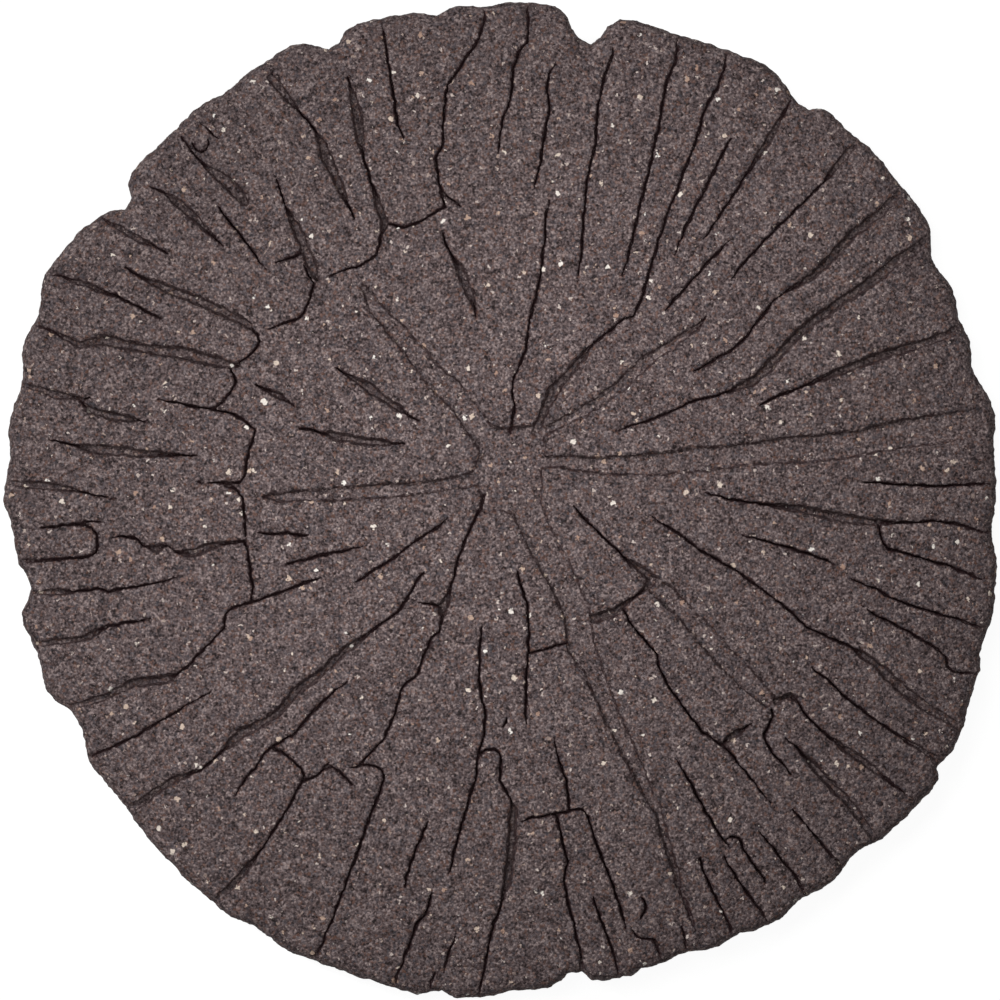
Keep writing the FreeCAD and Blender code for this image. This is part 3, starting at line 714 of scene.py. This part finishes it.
@dataclass
class SteppingStone:
    """The whole stone, one moulded piece that stands for the solid of the same name."""

    node: str = "stepping_stone"
    body: str = "root"
    slot: str = "crumb_rubber"
    voxel: float = 0.45 * MM
    least_island: int = 1000
    triangles: int = 192_000
    ragged_size: float = 5 * MM
    ragged_push: float = 2.6 * MM
    ragged_layers: float = 3.0
    relief: float = 0.3 * MM
    dome: float = 0.3
    clump_lift: float = 0.5
    foot: Span = (0.5 * MM, 2.5 * MM)
    level_rise: float = -0.99
    finish: CrumbRubber = CrumbRubber()

    def build(self) -> bpy.types.Object:
        """Make the dressed stone in place of the plain solid.

        Returns:
            The finished piece.
        """
        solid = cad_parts[self.node]
        piece = bpy.data.objects.new("cracked_log_slice", solid.data.copy())
        bpy.context.scene.collection.objects.link(piece)
        self._refine(piece)
        piece.modifiers.new("crumb", "NODES").node_group = self._crumb_tree(solid)
        self._apply(piece)
        self._lighten(piece)
        piece.data.materials.clear()
        piece.data.materials.append(self.finish.material())
        self._smooth(piece)
        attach(piece, self.body)
        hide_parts(self.node)
        return piece

    @staticmethod
    def _apply(piece: bpy.types.Object) -> None:
        """Turn the piece's modifiers into its mesh.

        Args:
            piece: the piece to change.
        """
        evaluated = piece.evaluated_get(bpy.context.evaluated_depsgraph_get())
        mesh = bpy.data.meshes.new_from_object(evaluated)
        piece.modifiers.clear()
        piece.data = mesh

    def _refine(self, piece: bpy.types.Object) -> None:
        """Give the piece an even, fine mesh.

        Args:
            piece: the piece to change.
        """
        voxels = piece.modifiers.new("voxels", "REMESH")
        voxels.mode = "VOXEL"
        voxels.voxel_size = self.voxel
        self._apply(piece)

    def _crumb_tree(self, solid: bpy.types.Object) -> bpy.types.NodeTree:
        """Mark cracks for painted shade, lean their banks, make them ragged and raise the crumb's
        clumps.

        Args:
            solid: the plain solid, whose faces tell walls from floors.

        Returns:
            The geometry tree for the refined piece.
        """
        tree = bpy.data.node_groups.new("crumb_relief", "GeometryNodeTree")
        for way in ("INPUT", "OUTPUT"):
            tree.interface.new_socket("Geometry", in_out=way, socket_type="NodeSocketGeometry")
        bench = NodeBench(tree)
        stone = self._without_bubbles(bench, bench.add("NodeGroupInput").outputs[0])
        finder = CrackFinder(bench, solid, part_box(self.node)[1].z)
        # the crack marks steer the painted shade that the finish lays in the cracks
        for crack, mark in finder.marks().items():
            inputs = {"Geometry": stone, "Name": crack.value, "Value": mark}
            stone = bench.add("GeometryNodeStoreNamedAttribute", inputs).outputs[0]
        offset = bench.vector("ADD", finder.lean(), self._ragged_push(bench, finder.place))
        offset = bench.vector("ADD", offset, self._clump_push(bench, finder.place, finder.normal))
        moved = bench.add("GeometryNodeSetPosition", {"Geometry": stone, "Offset": offset})
        bench.add("NodeGroupOutput", {0: moved.outputs[0]})
        return tree

    def _without_bubbles(self, bench: NodeBench, stone: Socket) -> Socket:
        """Delete the tiny loose bubbles that the voxels leave at some crack floors.

        Args:
            bench: where the nodes go.
            stone: the refined mesh.

        Returns:
            The socket with the mesh in one piece.
        """
        island = bench.add("GeometryNodeInputMeshIsland").outputs["Island Index"]
        inputs = {"Value": 1.0, "Group Index": island}
        points = bench.add("GeometryNodeAccumulateField", inputs).outputs["Total"]
        few = bench.math("LESS_THAN", points, self.least_island)
        inputs = {"Geometry": stone, "Selection": few}
        return bench.add("GeometryNodeDeleteGeometry", inputs).outputs[0]

    def _ragged_push(self, bench: NodeBench, place: Socket) -> Socket:
        """Push the points sideways, so that banks and rim are ragged.

        Args:
            bench: where the nodes go.
            place: position of the point.

        Returns:
            The socket with the offset.
        """
        shifts = bench.shifts(place, self.ragged_size, self.ragged_layers)
        return bench.vector("MULTIPLY", shifts, (self.ragged_push, self.ragged_push, 0))

    def _clump_push(self, bench: NodeBench, place: Socket, normal: Socket) -> Socket:
        """Raise the clumps of crumb out of the top and the side.

        Args:
            bench: where the nodes go.
            place: position of the point.
            normal: normal of the point.

        Returns:
            The socket with the offset.
        """
        clumps = bench.cells(place, self.finish.clump)
        dome = bench.math("SUBTRACT", self.dome, clumps.outputs["Distance"])
        height = bench.math("MULTIPLY_ADD", bench.chance(clumps)[0], self.clump_lift, dome)
        relief = bench.ramp(bench.upward(place), self.foot, 0.0, self.relief)
        return bench.scaled(normal, bench.math("MULTIPLY", height, relief))

    def _lighten(self, piece: bpy.types.Object) -> None:
        """Bring the mesh of quads down to its share of triangles, the flat underside first.

        Args:
            piece: the piece to change.
        """
        lighten = piece.modifiers.new("lighten", "DECIMATE")
        quads = len(piece.data.polygons)
        lighten.ratio = self.triangles / (2 * quads)
        lighten.use_collapse_triangulate = True
        self._apply(piece)

    def _smooth(self, piece: bpy.types.Object) -> None:
        """Shade the piece smoothly, apart from its flat underside.

        Args:
            piece: the piece to change.
        """
        for face in piece.data.polygons:
            face.use_smooth = face.normal.z > self.level_rise


@dataclass(frozen=True)
class Lamp:
    """A round soft lamp that faces the stone."""

    name: str
    place: tuple[float, float, float]
    width: float
    share: float

    def hang(self) -> None:
        """Hang the lamp, with its share of the light on a level surface at the origin."""
        place = Vector(self.place)
        light = bpy.data.lights.new(self.name, "AREA")
        light.shape = "DISK"
        light.size = self.width
        light.energy = self.share * math.pi**2 * place.length**3 / place.z
        lamp = bpy.data.objects.new(self.name, light)
        lamp.location = place
        lamp.rotation_mode = "QUATERNION"
        lamp.rotation_quaternion = (-place).to_track_quat("-Z", "Y")
        lamp.visible_camera = False
        bpy.context.scene.collection.objects.link(lamp)


@dataclass
class Studio:
    """Pale floor, soft light from above and from the upper left, and a camera straight above."""

    floor_width: float = 14.0
    floor_drop: float = 0.2 * MM
    floor_paint: Colour = (0.2, 0.2, 0.2)
    floor_glow: float = 0.94
    backdrop: Colour = (1.0, 1.0, 1.0)
    ambient: float = 0.14
    lamps: tuple[Lamp, ...] = (
        Lamp("upper_softbox", (0.07, 0.13, 0.31), 0.2, 0.32),
        Lamp("lower_softbox", (-0.13, -0.07, 0.31), 0.2, 0.32),
        Lamp("side_light", (-1.9, 1.2, 1.7), 0.4, 0.26),
    )
    lens: float = 100.0
    sensor: float = 36.0
    photo_share: float = 0.9935
    widest_level: float = 12 * MM

    def build(self) -> None:
        """Set the stage."""
        bpy.context.scene.view_settings.view_transform = "Standard"
        self._lay_floor()
        self._fill_world()
        for lamp in self.lamps:
            lamp.hang()
        self._aim_camera()

    def _lay_floor(self) -> None:
        """Lay a wide floor a hair under the stone, white to the camera but for the shadow."""
        half = self.floor_width / 2
        corners = [(-half, -half, 0), (half, -half, 0), (half, half, 0), (-half, half, 0)]
        mesh = bpy.data.meshes.new("floor")
        mesh.from_pydata(corners, [], [(0, 1, 2, 3)])
        floor = bpy.data.objects.new("floor", mesh)
        floor.location.z = -self.floor_drop
        bpy.context.scene.collection.objects.link(floor)
        material = bpy.data.materials.new("pale_floor")
        material.use_nodes = True
        bench = NodeBench(material.node_tree)
        paint = bench.add("ShaderNodeBsdfDiffuse", {"Color": (*self.floor_paint, 1)})
        strength = bench.math("MULTIPLY", bench.seen_rays(), self.floor_glow)
        glow = bench.add("ShaderNodeEmission", {"Strength": strength})
        both = bench.add("ShaderNodeAddShader", {0: paint.outputs[0], 1: glow.outputs[0]})
        bench.add("ShaderNodeOutputMaterial", {"Surface": both.outputs[0]})
        mesh.materials.append(material)

    def _fill_world(self) -> None:
        """Fill the shadows with even light, and show a white backdrop."""
        world = bpy.data.worlds.new("studio")
        world.use_nodes = True
        bench = NodeBench(world.node_tree)
        strength = bench.ramp(bench.seen_rays(), WHOLE, self.ambient, 1.0)
        inputs = {"Color": (*self.backdrop, 1), "Strength": strength}
        backdrop = bench.add("ShaderNodeBackground", inputs)
        bench.add("ShaderNodeOutputWorld", {"Surface": backdrop.outputs[0]})
        bpy.context.scene.world = world

    def _aim_camera(self) -> None:
        """Put the camera straight above, as far off as the photograph's framing asks."""
        low, high = CAD_BOX
        width = (high.x - low.x) / self.photo_share
        view = bpy.data.cameras.new("camera")
        view.lens = self.lens
        view.sensor_width = self.sensor
        camera = bpy.data.objects.new("camera", view)
        camera.location = (0, 0, self.widest_level + width * self.lens / self.sensor)
        bpy.context.scene.collection.objects.link(camera)
        bpy.context.scene.camera = camera


def main() -> None:
    """Build the studio and the stone, and report the stone."""
    logging.basicConfig(level=logging.INFO, format="%(name)s: %(message)s")
    Studio().build()
    piece = SteppingStone().build()
    log.info("%s has %d triangles", piece.name, len(piece.data.polygons))


if __name__ == "__main__":
    main()
